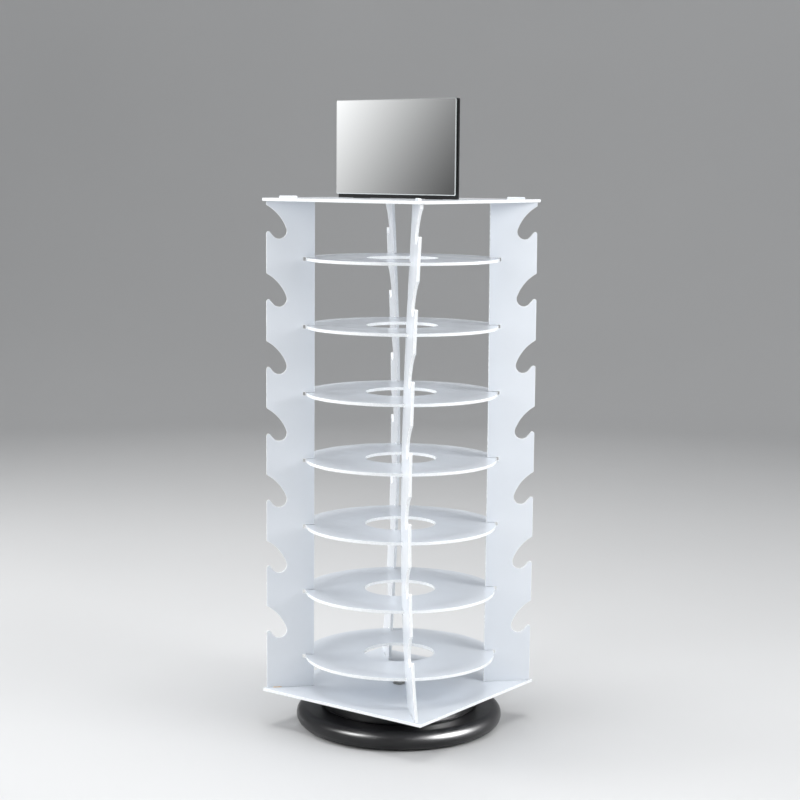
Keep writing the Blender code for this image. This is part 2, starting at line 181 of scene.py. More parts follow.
def rectangle(width, depth, radius, centre=(0.0, 0.0)):
    half_x, half_y = width / 2.0, depth / 2.0
    corners = [(-half_x, -half_y), (half_x, -half_y), (half_x, half_y), (-half_x, half_y)]
    return rounded([(centre[0] + x, centre[1] + y, radius) for x, y in corners])


def turned_slot(inner, outer, aside, half_width, angle):
    """A slot whose long side points outward at this angle, a little to one side of the axis."""
    turn = Matrix.Rotation(math.radians(angle), 2)
    low, high = aside - half_width, aside + half_width
    corners = [(inner, low), (outer, low), (outer, high), (inner, high)]
    turned_corners = [turn @ Vector(corner) for corner in corners]
    return rounded([(corner.x, corner.y, 0.4) for corner in turned_corners], 30.0)


def leftward(loop, distance):
    """The loop moved to its own left by a distance, with mitred corners."""
    moved = []
    count = len(loop)
    for index, point in enumerate(loop):
        here = Vector(point)
        before = (here - Vector(loop[index - 1])).normalized()
        after = (Vector(loop[(index + 1) % count]) - here).normalized()
        side_before = Vector((-before.y, before.x))
        side_after = Vector((-after.y, after.x))
        middle = (side_before + side_after).normalized()
        moved.append(here + middle * distance / max(0.3, middle.dot(side_before)))
    return moved


def area(loop):
    total = 0.0
    for index, (x, y) in enumerate(loop):
        after = loop[(index + 1) % len(loop)]
        total += x * after[1] - after[0] * y
    return total / 2.0


# --------------------------------------------------------------------------------------
# Meshes
# --------------------------------------------------------------------------------------


def finished(name, made, looks, body, replaces=(), sharp=38.0, weighted=True):
    """Turns a bmesh into a piece that rides on a body and stands for its CAD nodes."""
    bmesh.ops.recalc_face_normals(made, faces=made.faces[:])
    mesh = bpy.data.meshes.new(name)
    made.to_mesh(mesh)
    made.free()
    mesh.shade_smooth()
    mesh.set_sharp_from_angle(angle=math.radians(sharp))
    for look in looks:
        mesh.materials.append(look)
    piece = bpy.data.objects.new(name, mesh)
    bpy.context.scene.collection.objects.link(piece)
    if weighted:
        modifier = piece.modifiers.new("flat_faces_lead", "WEIGHTED_NORMAL")
        modifier.keep_sharp = True
    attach(piece, body)
    if replaces:
        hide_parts(*replaces)
    return piece


def sheet(outline, holes, low, high, edge=0.25, folds=FOLD, plane="XY"):
    """A flat sheet with rounded rims. Material 0 is its two faces, material 1 its cut edges."""
    made = bmesh.new()
    rows = []
    for fold in range(folds + 1):
        turn = math.radians(90.0 * fold / folds)
        rows.append((low + edge * (1.0 - math.cos(turn)), edge * (1.0 - math.sin(turn))))
    rows += [(high + low - height, inset) for height, inset in reversed(rows)]
    caps = {0: [], len(rows) - 1: []}
    for loop in [outline, *holes]:
        is_hole = loop is not outline
        if (area(loop) < 0.0) != is_hole:
            loop = loop[::-1]
        rings = []
        for height, inset in rows:
            ring = []
            for x, y in leftward(loop, inset):
                place = (x, y, height) if plane == "XY" else (x, height, y)
                ring.append(made.verts.new(Vector(place) * MM))
            rings.append(ring)
        for lower, upper in zip(rings, rings[1:]):
            for index in range(len(loop)):
                after = (index + 1) % len(loop)
                wall = made.faces.new((lower[index], lower[after], upper[after], upper[index]))
                wall.material_index = 1
        for row, found in caps.items():
            ring = rings[row]
            for index in range(len(ring)):
                found.append(made.edges.get((ring[index], ring[(index + 1) % len(ring)])))
    for found in caps.values():
        bmesh.ops.triangle_fill(made, use_beauty=True, use_dissolve=False, edges=found)
    return made


def turned(rows, steps=96, centre=(0.0, 0.0), closed=True):
    """Rows of (radius, height) taken round an upright axis, the last joined to the first if closed.
    A radius may be a function of the angle, and a radius of 0 becomes one point."""
    made = bmesh.new()
    rings = []
    for radius, height in rows:
        if not callable(radius) and radius < 1e-6:
            rings.append([made.verts.new(Vector((centre[0], centre[1], height)) * MM)])
            continue
        ring = []
        for index in range(steps):
            angle = 2.0 * math.pi * index / steps
            reach = radius(angle) if callable(radius) else radius
            place = (centre[0] + reach * math.cos(angle), centre[1] + reach * math.sin(angle), height)
            ring.append(made.verts.new(Vector(place) * MM))
        rings.append(ring)
    for first, second in zip(rings, rings[1:] + rings[:1] if closed else rings[1:]):
        if len(first) == 1 and len(second) == 1:
            continue
        for step in range(steps):
            after = (step + 1) % steps
            if len(first) == 1:
                made.faces.new((first[0], second[step], second[after]))
            elif len(second) == 1:
                made.faces.new((first[step], second[0], first[after]))
            else:
                made.faces.new((first[step], second[step], second[after], first[after]))
    return made


# --------------------------------------------------------------------------------------
# Materials
# --------------------------------------------------------------------------------------


class Look:
    """A node material. Each method adds nodes and returns the socket to use next."""

    def __init__(self, name):
        self.material = bpy.data.materials.new(name)
        self.material.use_nodes = True
        self.nodes = self.material.node_tree.nodes
        self.links = self.material.node_tree.links
        self.shader = self.nodes["Principled BSDF"]
        self.place = self.nodes.new("ShaderNodeTexCoord").outputs["Object"]

    def put(self, socket, value):
        if hasattr(value, "is_linked"):
            self.links.new(value, socket)
        else:
            socket.default_value = value

    def set(self, **values):
        for key, value in values.items():
            self.put(self.shader.inputs[key.replace("_", " ")], value)

    def stretched(self, x, y, z):
        node = self.nodes.new("ShaderNodeMapping")
        node.inputs["Scale"].default_value = (x, y, z)
        self.links.new(self.place, node.inputs["Vector"])
        return node.outputs["Vector"]

    def noise(self, scale, detail=3.0, roughness=0.5, distortion=0.0, vector=None):
        node = self.nodes.new("ShaderNodeTexNoise")
        node.inputs["Scale"].default_value = scale
        node.inputs["Detail"].default_value = detail
        node.inputs["Roughness"].default_value = roughness
        node.inputs["Distortion"].default_value = distortion
        self.links.new(vector or self.place, node.inputs["Vector"])
        return node.outputs["Fac"]

    def cells(self, scale, feature="F1"):
        node = self.nodes.new("ShaderNodeTexVoronoi")
        node.feature = feature
        node.inputs["Scale"].default_value = scale
        self.links.new(self.place, node.inputs["Vector"])
        return node.outputs["Distance"]

    def ramp(self, value, low, high, out_low=0.0, out_high=1.0):
        node = self.nodes.new("ShaderNodeMapRange")
        node.inputs["From Min"].default_value = low
        node.inputs["From Max"].default_value = high
        node.inputs["To Min"].default_value = out_low
        node.inputs["To Max"].default_value = out_high
        self.links.new(value, node.inputs["Value"])
        return node.outputs["Result"]

    def math(self, operation, first, second):
        node = self.nodes.new("ShaderNodeMath")
        node.operation = operation
        self.put(node.inputs[0], first)
        self.put(node.inputs[1], second)
        return node.outputs[0]

    def mix(self, factor, first, second):
        node = self.nodes.new("ShaderNodeMix")
        node.data_type = "RGBA"
        self.put(node.inputs["Factor"], factor)
        for socket, colour in ((node.inputs[6], first), (node.inputs[7], second)):
            self.put(socket, (*colour, 1.0) if isinstance(colour, tuple) else colour)
        return node.outputs[2]

    def bump(self, height, strength, distance, below=None):
        node = self.nodes.new("ShaderNodeBump")
        node.inputs["Strength"].default_value = strength
        node.inputs["Distance"].default_value = distance * MM
        self.links.new(height, node.inputs["Height"])
        if below is not None:
            self.links.new(below, node.inputs["Normal"])
        return node.outputs["Normal"]

    def dust(self, scale, edge, patch_scale, patch_detail, patch_edge):
        """1 on fine specks and 0 between them, only inside scattered patches."""
        speck = self.ramp(self.cells(scale), *edge)
        patch = self.ramp(self.noise(patch_scale, patch_detail), *patch_edge)
        return self.math("MULTIPLY", speck, patch)

    # A convex-edge mask: real wear on the steel, lighter edges on the black plastic, and the
    # acrylic's painted glow.
    def edge_wear_and_glow(self, radius, low=0.0, high=1.0):
        """1 along convex edges and 0 on flats, from how far a rounded normal leans."""
        soft = self.nodes.new("ShaderNodeBevel")
        soft.samples = 4
        soft.inputs["Radius"].default_value = radius * MM
        hard = self.nodes.new("ShaderNodeNewGeometry")
        lean = self.nodes.new("ShaderNodeVectorMath")
        lean.operation = "DOT_PRODUCT"
        self.links.new(soft.outputs["Normal"], lean.inputs[0])
        self.links.new(hard.outputs["Normal"], lean.inputs[1])
        return self.ramp(lean.outputs["Value"], 1.0, 0.75, low, high)


def acrylic_face():
    """Glossy white cast sheet: faint cloudiness, wiping marks, a very slight waviness, and a
    thin painted glow along its cut edges: lighter colour and emission for light leaving the sheet."""
    look = Look("white_acrylic_face")
    cloud = look.noise(9.0, 2.0)
    fine = look.noise(70.0, 4.0)
    white = look.mix(cloud, (0.770, 0.812, 0.868), (0.820, 0.855, 0.900))
    # Painted glow: along the cut edges the colour turns lighter and the face emits a little light.
    painted_glow_border = look.edge_wear_and_glow(0.9)
    dust = look.dust(900.0, (0.10, 0.04), 140.0, 1.0, (0.66, 0.72))
    colour = look.mix(look.math("MULTIPLY", dust, 0.5), white, (0.52, 0.52, 0.50))
    wiping = look.noise(16.0, 5.0, 0.62, 1.4, look.stretched(1.0, 1.0, 0.25))
    rough = look.ramp(wiping, 0.35, 0.75, 0.11, 0.24)
    ripple = look.bump(look.noise(11.0, 1.0), 0.25, 0.35)
    grain = look.bump(fine, 0.05, 0.02, ripple)
    look.set(
        Base_Color=look.mix(painted_glow_border, colour, (0.93, 0.95, 0.97)),
        Roughness=rough,
        IOR=1.49,
        Emission_Color=(0.93, 0.96, 1.0, 1.0),
        Emission_Strength=look.math("MULTIPLY", painted_glow_border, 0.15),
        Normal=grain,
    )
    return look.material


def acrylic_edge():
    """Laser-cut edge of the same sheet with a fine ripple, and a painted highlight and faint painted
    glow.
    """
    look = Look("white_acrylic_edge")
    ripple = look.noise(420.0, 2.0)
    # The edge's colour is lighter than the faces' as a painted highlight, and its emission is a faint
    # painted glow.
    colour = look.mix(look.noise(25.0, 2.0), (0.90, 0.93, 0.95), (0.95, 0.965, 0.975))
    look.set(
        Base_Color=colour,
        Roughness=look.ramp(ripple, 0.3, 0.7, 0.16, 0.34),
        IOR=1.49,
        Emission_Color=(0.93, 0.96, 1.0, 1.0),
        Emission_Strength=0.04,
        Normal=look.bump(ripple, 0.12, 0.04),
    )
    return look.material


def gloss_black():
    """Glossy black moulding: orange-peel skin, hair scratches, a little dust, softened edges."""
    look = Look("gloss_black_plastic")
    peel = look.bump(look.noise(190.0, 2.0), 0.04, 0.03)
    hair = look.noise(30.0, 6.0, 0.7, 2.5, look.stretched(1.0, 9.0, 3.0))
    scratch = look.math("MULTIPLY", look.ramp(hair, 0.500, 0.512), look.ramp(hair, 0.536, 0.524))
    dust = look.dust(1100.0, (0.11, 0.05), 60.0, 2.0, (0.55, 0.70))
    # Convex edges come out a little lighter in colour.
    edge = look.edge_wear_and_glow(0.6, 0.0, 0.5)
    base = look.mix(edge, (0.0045, 0.0045, 0.0055), (0.020, 0.020, 0.023))
    colour = look.mix(look.math("MULTIPLY", dust, 0.55), base, (0.34, 0.33, 0.31))
    smear = look.noise(14.0, 4.0, 0.6, 1.0)
    smeared = look.ramp(smear, 0.35, 0.75, 0.30, 0.35)
    look.set(
        Base_Color=colour,
        Roughness=look.math("ADD", smeared, look.math("MULTIPLY", scratch, 0.08)),
        IOR=1.46,
        Coat_Weight=0.08,
        Coat_Roughness=0.16,
        Normal=peel,
    )
    return look.material


def matte_black():
    """Moulded satin underside with a fine spark-eroded texture."""
    look = Look("matte_black_plastic")
    grain = look.noise(900.0, 3.0)
    colour = look.mix(look.noise(20.0, 3.0), (0.016, 0.016, 0.018), (0.030, 0.030, 0.032))
    look.set(
        Base_Color=colour,
        Roughness=look.ramp(grain, 0.3, 0.7, 0.48, 0.66),
        Normal=look.bump(grain, 0.45, 0.08),
    )
    return look.material


def rubber():
    """Matt black rubber with a faint grey bloom."""
    look = Look("foot_rubber")
    grain = look.noise(600.0, 4.0)
    bloom = look.noise(45.0, 3.0)
    colour = look.mix(bloom, (0.018, 0.018, 0.018), (0.050, 0.048, 0.046))
    look.set(
        Base_Color=colour,
        Roughness=look.ramp(bloom, 0.3, 0.7, 0.72, 0.92),
        Normal=look.bump(grain, 0.4, 0.06),
        Specular_IOR_Level=0.3,
    )
    return look.material


def steel(name, tone, roughness, warm, scale):
    """Plated or drawn steel: turning marks, blotchy plating and bright edges, rubbed through by wear.
    """
    look = Look(name)
    marks = look.noise(scale, 4.0, 0.6, 0.0, look.stretched(1.0, 1.0, 14.0))
    blotch = look.noise(160.0, 3.0)
    dull = tuple(tone * channel for channel in warm)
    bright = tuple(min(1.0, 1.25 * channel) for channel in dull)
    colour = look.mix(blotch, dull, bright)
    colour = look.mix(look.edge_wear_and_glow(0.35, 0.0, 0.8), colour, (0.72, 0.72, 0.70))
    look.set(
        Base_Color=colour,
        Metallic=1.0,
        Roughness=look.ramp(marks, 0.3, 0.7, roughness * 0.75, roughness * 1.35),
        Normal=look.bump(marks, 0.25, 0.03),
    )
    return look.material


def nylon():
    """Natural nylon moulding, slightly clear and with a fine skin."""
    look = Look("cage_nylon")
    colour = look.mix(look.noise(40.0, 3.0), (0.62, 0.60, 0.52), (0.72, 0.70, 0.62))
    look.set(
        Base_Color=colour,
        Roughness=look.ramp(look.noise(300.0, 3.0), 0.3, 0.7, 0.42, 0.58),
        Subsurface_Weight=0.2,
        Subsurface_Scale=0.003,
        Normal=look.bump(look.noise(500.0, 2.0), 0.2, 0.04),
    )
    return look.material


def foam():
    """Closed-cell foam tape, with its open cells along the cut sides."""
    look = Look("foam_tape")
    cell = look.cells(1400.0, "SMOOTH_F1")
    colour = look.mix(cell, (0.38, 0.38, 0.37), (0.62, 0.62, 0.60))
    look.set(Base_Color=colour, Roughness=0.9, Normal=look.bump(cell, 0.7, 0.15))
    return look.material


def mirror_silver():
    """The silvered face: a clean mirror with a faint film of wiping marks and fine dust."""
    look = Look("mirror_silver")
    film = look.noise(26.0, 5.0, 0.6, 1.6, look.stretched(1.0, 1.0, 0.4))
    dust = look.dust(800.0, (0.10, 0.04), 70.0, 2.0, (0.60, 0.72))
    colour = look.mix(look.math("MULTIPLY", dust, 0.6), (0.86, 0.875, 0.88), (0.60, 0.60, 0.60))
    look.set(
        Base_Color=colour,
        Metallic=1.0,
        Roughness=look.ramp(film, 0.35, 0.80, 0.015, 0.060),
        Normal=look.bump(look.noise(6.0, 1.0), 0.02, 0.05),
    )
    return look.material


def glass_edge(name, dull, bright, glow):
    """Ground glass with fine wheel marks: a dark green side, or the bevel with a painted highlight
    and glow.
    """
    look = Look(name)
    wheel = look.noise(260.0, 3.0, 0.5, 0.0, look.stretched(1.0, 6.0, 1.0))
    look.set(
        Base_Color=look.mix(wheel, dull, bright),
        Roughness=look.ramp(wheel, 0.3, 0.7, 0.10, 0.26),
        IOR=1.52,
        Emission_Color=(0.94, 0.96, 0.96, 1.0),
        Emission_Strength=glow,
        Coat_Weight=0.3,
        Normal=look.bump(wheel, 0.15, 0.03),
    )
    return look.material


def old_glue():
    """A dried amber smear of glue and paper backing."""
    look = Look("dried_glue")
    patch = look.noise(260.0, 4.0)
    colour = look.mix(patch, (0.80, 0.46, 0.24), (0.90, 0.70, 0.52))
    look.set(
        Base_Color=colour,
        Roughness=look.ramp(patch, 0.3, 0.7, 0.35, 0.7),
        Subsurface_Weight=0.3,
        Subsurface_Scale=0.002,
        Normal=look.bump(patch, 0.6, 0.2),
    )
    return look.material


WHITE = [acrylic_face(), acrylic_edge()]
BLACK = gloss_black()
SATIN = matte_black()
RUBBER = rubber()
ZINC = steel("zinc_plated_steel", 0.42, 0.34, (1.0, 0.985, 0.93), 240.0)
RACE = steel("pressed_race_steel", 0.50, 0.26, (0.98, 1.0, 1.03), 120.0)
BALL = steel("bearing_ball_steel", 0.72, 0.07, (1.0, 1.0, 1.02), 60.0)
NYLON = nylon()
FOAM = foam()
GLASS_SIDE = glass_edge("mirror_glass_side", (0.010, 0.020, 0.018), (0.030, 0.050, 0.045), 0.0)
# The bevel's bright colour and its emission are a painted highlight and painted glow.
GLASS_BEVEL_HIGHLIGHT = glass_edge("mirror_glass_bevel", (0.70, 0.76, 0.75), (0.84, 0.88, 0.87), 0.30)
MIRROR = [mirror_silver(), GLASS_SIDE, GLASS_BEVEL_HIGHLIGHT]
GLUE = old_glue()

# --------------------------------------------------------------------------------------
# White sheet parts
# --------------------------------------------------------------------------------------


def hook_notch(ring_middle):
    """One notch in the outer edge of a fin: over the hook's round tip, down round the notch's
    bottom, and up a wide arc to its mouth in the fin's edge."""
    tip = ring_middle + HOOK_ABOVE_RING
    lip = arc((HOOK_ROUND, -HOOK_ROUND), HOOK_ROUND, 180.0, 40.0, 9)
    round_centre = Vector((NOTCH_DEPTH - NOTCH_ROUND, NOTCH_ROUND_UP))
    bottom = arc(round_centre, NOTCH_ROUND, 218.0, 360.0 + NOTCH_WALL_START, 22)
    start = math.radians(NOTCH_WALL_START)
    back = Vector((math.cos(start), math.sin(start))) * (NOTCH_WALL - NOTCH_ROUND)
    wall_centre = round_centre - back
    mouth = math.degrees(math.acos((0.5 - wall_centre.x) / NOTCH_WALL))
    wall = arc(wall_centre, NOTCH_WALL, NOTCH_WALL_START, mouth, 14)[1:]
    corner = arc((0.6, wall[-1][1] + 0.75), 0.6, 245.0, 180.0, 3)
    return [(FIN_OUTER - inward, tip + up) for inward, up in lip + bottom + wall + corner]


def fin_outline():
    """The whole edge of one fin: hooks outside, ring slots inside, a tab at each end."""
    foot = BOTTOM_TOP + GAP
    head = TOP_LOW - GAP
    lower = rounded(
        [
            (FIN_INNER, foot, 0.0),
            (TAB_INNER, foot, 0.2),
            (TAB_INNER, FIN_FOOT, 0.5),
            (TAB_OUTER, FIN_FOOT, 0.5),
            (TAB_OUTER, foot, 0.2),
            (FIN_OUTER, foot, 0.4),
            (FIN_OUTER, RING_MIDDLES[0], 0.0),
        ],
        30.0,
    )[:-1]  # the last corner only shows the one before it which way the outline goes on
    notches = [point for middle in RING_MIDDLES for point in hook_notch(middle)]
    upper = [
        (FIN_OUTER, head),
        (TAB_OUTER, head),
        (TAB_OUTER, FIN_CROWN - TAB_CUT),
        (TAB_OUTER - TAB_CUT, FIN_CROWN),
        (TAB_INNER + TAB_CUT, FIN_CROWN),
        (TAB_INNER, FIN_CROWN - TAB_CUT),
        (TAB_INNER, head),
        (FIN_INNER, head),
    ]
    slots = []
    half = SHEET / 2.0 + GAP
    for middle in reversed(RING_MIDDLES):
        slots += [
            (FIN_INNER, middle + half),
            (FIN_SLOT_END, middle + half),
            (FIN_SLOT_END, middle - half),
            (FIN_INNER, middle - half),
        ]
    return lower + notches + upper + slots


def bend_fin(made, bow, fullest):
    """Shifts each level of a fin sideways: all of it to its place beside the diagonal, and its
    middle further, along a smooth bow that is fullest at this share of the fin's height."""
    skew = math.log(0.5) / math.log(fullest)
    foot, head = BOTTOM_TOP + GAP, TOP_LOW - GAP
    count = round((head - foot) / BEND_STEP)
    for index in range(1, count):
        place = (0.0, 0.0, (foot + (head - foot) * (index + 0.37) / count) * MM)
        parts = made.verts[:] + made.edges[:] + made.faces[:]
        bmesh.ops.bisect_plane(made, geom=parts, dist=1e-7, plane_co=place, plane_no=(0.0, 0.0, 1.0))
    for corner in made.verts:
        rise = min(max((corner.co.z / MM - foot) / (head - foot), 0.0), 1.0) ** skew
        corner.co.y += (FIN_ASIDE + bow * math.sin(math.pi * rise)) * MM


def build_fins():
    outline = fin_outline()
    for name, angle in FINS.items():
        made = sheet(outline, [], -SHEET / 2.0, SHEET / 2.0, plane="XZ")
        bend_fin(made, *FIN_BOWS[name])
        turn = Matrix.Rotation(math.radians(angle), 4, "Z")
        bmesh.ops.transform(made, matrix=turn, verts=made.verts[:])
        finished(name + "_sheet", made, WHITE, "carousel", [name])


def build_rings():
    for name in RINGS:
        outline = circle((0.0, 0.0), RING_RADIUS, 180)
        hole = circle((0.0, 0.0), RING_HOLE, 96)
        made = sheet(outline, [hole], low_of(name).z, high_of(name).z)
        finished(name + "_sheet", made, WHITE, "carousel", [name])


def tab_slots():
    half = SHEET / 2.0 + GAP
    inner, outer = TAB_INNER - GAP, TAB_OUTER + GAP
    return [turned_slot(inner, outer, FIN_ASIDE, half, angle) for angle in FINS.values()]


def build_plates():
    outline = rectangle(PLATE_SIDE, PLATE_SIDE, PLATE_CORNER)
    bolt_hole = circle((0.0, 0.0), BOLT_RADIUS + GAP, 48)
    made = sheet(outline, [*tab_slots(), bolt_hole], BOTTOM_LOW, BOTTOM_TOP, 0.3)
    finished("bottom_plate_sheet", made, WHITE, "carousel", ["bottom_plate"])
    slots = tab_slots()
    for side in (-1.0, 1.0):
        centre = (side * BACKING_TAB_APART / 2.0, BACKING_MIDDLE)
        size = (BACKING_TAB_WIDE + 2.0 * GAP, BACKING_THICK + 2.0 * GAP)
        slots.append(rectangle(*size, 0.2, centre))
    made = sheet(outline, slots, TOP_LOW, TOP_TOP, 0.3)
    finished("top_plate_sheet", made, WHITE, "carousel", ["top_plate"])


# --------------------------------------------------------------------------------------
# Mirror
# --------------------------------------------------------------------------------------

BACKING_TAB_WIDE = 20.0
BACKING_TAB_APART = 90.0
BACKING_THICK = high_of("mirror_backing").y - low_of("mirror_backing").y
BACKING_MIDDLE = (high_of("mirror_backing").y + low_of("mirror_backing").y) / 2.0
MIRROR_CORNER = 1.5
MIRROR_BEVEL = 0.7
BEVEL_LEAN = 0.3


def build_mirror():
    """A bevelled pane, the foam tape behind it, and a black board with two tabs in the plate."""
    low, high = low_of("mirror_glass"), high_of("mirror_glass")
    middle = (0.0, (low.z + high.z) / 2.0)
    outline = rectangle(high.x - low.x, high.z - low.z, MIRROR_CORNER, middle)
    made = sheet(outline, [], low.y, high.y, MIRROR_BEVEL, 1, "XZ")
    made.normal_update()
    for face in made.faces:
        if face.material_index == 1 and abs(face.normal.y) > BEVEL_LEAN:
            face.material_index = MIRROR.index(GLASS_BEVEL_HIGHLIGHT)
    finished("mirror_pane", made, MIRROR, "carousel", ["mirror_glass"], 20.0)
    low, high = low_of("mirror_tape"), high_of("mirror_tape")
    outline = rectangle(high.x - low.x, high.z - low.z, 2.0, middle)
    made = sheet(outline, [], low.y, high.y, 0.1, 2, "XZ")
    finished("mirror_foam_tape", made, [FOAM], "carousel", ["mirror_tape"])
    low, high = low_of("mirror_backing"), high_of("mirror_backing")
    seat = TOP_TOP + GAP
    corners = [(low.x, seat, 0.3), (low.x, high.z, MIRROR_CORNER)]
    corners += [(high.x, high.z, MIRROR_CORNER), (high.x, seat, 0.3)]
    for side in (1.0, -1.0):
        near = side * BACKING_TAB_APART / 2.0 + BACKING_TAB_WIDE / 2.0
        far = near - BACKING_TAB_WIDE
        corners += [(near, seat, 0.2), (near, low.z, 0.4), (far, low.z, 0.4), (far, seat, 0.2)]
    made = sheet(rounded(corners, 15.0), [], low.y, high.y, 0.3, FOLD, "XZ")
    finished("mirror_board", made, [BLACK, BLACK], "carousel", ["mirror_backing"])


# --------------------------------------------------------------------------------------
# Turntable
# --------------------------------------------------------------------------------------

BASE_RADIUS = high_of("base_shell").x
BASE_DECK = high_of("base_shell").z
RIM_WIDE = 9.0
RIM_TALL = 9.5
RIM_FOOT_ANGLE = -60.0
RIM_INSIDE = BASE_RADIUS - RIM_WIDE + 5.1
PARTING_HEIGHT = 6.2
PARTING_DEPTH = 0.22
PARTING_WIDTH = 0.35
BASE_WALL = 2.5
BOSS_RADIUS = 9.0
BOSS_UNDER = 11.0
COVER_SEAT = 5.2
COVER_RADIUS = high_of("base_cover").x
COVER_HOLE = 7.5
COVER_LIP = 3.5
COVER_RECESS = 0.6
COVER_RIBS = (22.0, 46.0)
COVER_RIB_WIDE = 3.0
COVER_RIM = 71.0
DISC_RADIUS = high_of("turntable_disc").x
DISC_UNDER = low_of("turntable_disc").z
DISC_TOP = high_of("turntable_disc").z
DISC_DECK = 2.2
DISC_WALL = 3.0
DISC_SHOULDER = 6.0
DISC_CHAMFER = 0.9
FOOT_DISH = 0.35
FOOT_EDGE = 0.5
FOOT_RING = 2.4


def build_base_shell():
    """Lower tier: a full round rim with a fine parting line, a flat deck with a shallow groove
    under the drum's wall, and a pivot boss."""
    middle = (BASE_RADIUS - RIM_WIDE, BASE_DECK - RIM_TALL)
    rim = []
    for across, up in arc((0.0, 0.0), 1.0, RIM_FOOT_ANGLE, 90.0, 40):
        radius = middle[0] + RIM_WIDE * across
        height = middle[1] + RIM_TALL * up
        groove = PARTING_DEPTH * math.exp(-(((height - PARTING_HEIGHT) / PARTING_WIDTH) ** 2))
        rim.append((radius - groove, height))
    foot = rim[0]
    deck_under = BASE_DECK - BASE_WALL
    bore = BOLT_RADIUS + RUNNING_GAP
    deck = rounded(
        [
            (middle[0] - 1.0, BASE_DECK, 0.0),
            (DISC_RADIUS + 1.6, BASE_DECK, 0.3),
            (DISC_RADIUS + 1.2, BASE_DECK - 0.5, 0.3),
            (DISC_RADIUS - 1.5, BASE_DECK - 0.5, 0.3),
            (DISC_RADIUS - 1.9, BASE_DECK, 0.3),
            (bore, BASE_DECK, 0.4),
            (bore, BOSS_UNDER, 0.3),
            (BOSS_RADIUS, BOSS_UNDER, 0.5),
            (BOSS_RADIUS, deck_under, 1.0),
            (RIM_INSIDE + 1.0, deck_under, 6.0),
            (RIM_INSIDE, COVER_SEAT, 1.0),
            (RIM_INSIDE, foot[1], 0.3),
            (*foot, 0.0),
        ]
    )
    made = turned(rim + deck[1:-1], 192)
    finished("base_shell_moulding", made, [BLACK], "base", ["base_shell"], 50.0)


def build_base_cover():
    """Bottom cover with shallow moulded rings and a lip round its middle hole."""
    low, high = low_of("base_cover").z, high_of("base_cover").z
    recess = low + COVER_RECESS
    lip = COVER_HOLE + COVER_LIP
    profile = [(COVER_HOLE, low), (lip, low), (lip + COVER_RECESS, recess)]
    for start in COVER_RIBS:
        end = start + COVER_RIB_WIDE
        profile += [(start, recess), (start + COVER_RECESS, low)]
        profile += [(end - COVER_RECESS, low), (end, recess)]
    profile += [(COVER_RIM, recess), (COVER_RIM + COVER_RECESS, low)]
    corners = [(radius, height, 0.3) for radius, height in profile]
    corners += [(COVER_RADIUS, low, 0.6), (COVER_RADIUS, high, 0.3), (COVER_HOLE, high, 0.3)]
    made = turned(rounded(corners, 30.0), 144)
    finished("base_cover_moulding", made, [SATIN], "base", ["base_cover"], 50.0)


def build_feet():
    """Rubber feet, each with a dished sole inside a narrow ring."""
    for number in range(1, 5):
        name = f"foot_{number}"
        low, high = low_of(name), high_of(name)
        centre = ((low.x + high.x) / 2.0, (low.y + high.y) / 2.0)
        radius = (high.x - low.x) / 2.0
        corners = [
            (0.0, FOOT_DISH, 0.0),
            (radius - FOOT_EDGE * 2.0 - FOOT_RING, FOOT_DISH, 0.2),
            (radius - FOOT_EDGE - FOOT_RING, low.z, 0.2),
            (radius - FOOT_EDGE, low.z, 0.3),
            (radius, low.z + FOOT_EDGE, 0.4),
            (radius - 0.2, high.z, 0.2),
            (0.0, high.z, 0.0),
        ]
        made = turned(rounded(corners, 22.5), 48, centre)
        finished(f"rubber_foot_{number}", made, [RUBBER], "base", [name], 50.0)


def build_turntable_disc():
    """Upper tier: a low drum with a round shoulder, which carries the bottom plate."""
    bore, sleeve = BOLT_RADIUS + GAP, DISC_UNDER + 0.2
    inside, deck_under = DISC_RADIUS - DISC_WALL, DISC_TOP - DISC_DECK
    corners = [
        (DISC_RADIUS - DISC_CHAMFER, DISC_UNDER, 0.3),
        (DISC_RADIUS, DISC_UNDER + DISC_CHAMFER, 0.7),
        (DISC_RADIUS, DISC_TOP, DISC_SHOULDER),
        (bore, DISC_TOP, 0.3),
        (bore, sleeve, 0.3),
        (BOSS_RADIUS, sleeve, 0.4),
        (BOSS_RADIUS, deck_under, 1.0),
        (inside, deck_under, 3.5),
        (inside, DISC_UNDER, 0.3),
    ]
    made = turned(rounded(corners, 7.5), 160)
    finished("turntable_drum", made, [BLACK], "carousel", ["turntable_disc"], 50.0)
    low, high = low_of("plate_tape").z, high_of("plate_tape").z
    hole = circle((0.0, 0.0), TAPE_INNER, 96)
    made = sheet(circle((0.0, 0.0), TAPE_OUTER, 96), [hole], low, high, 0.1, 2)
    finished("plate_foam_tape", made, [FOAM, FOAM], "carousel", ["plate_tape"])


def race_profile(flat, face, ball_height, sign):
    """A flat ring with a round groove for the balls, below them (sign 1) or above (sign -1)."""
    reach = math.degrees(math.asin(abs(face - ball_height) / RACE_GROOVE))
    groove = arc((BALL_CIRCLE, 0.0), RACE_GROOVE, -180.0 + reach, -reach, 14)
    inner, outer = BALL_CIRCLE - RACE_HALF_WIDTH, BALL_CIRCLE + RACE_HALF_WIDTH
    points = [(inner, flat), (inner, face)]
    points += [(radius, ball_height + sign * height) for radius, height in groove]
    return points + [(outer, face), (outer, flat)]


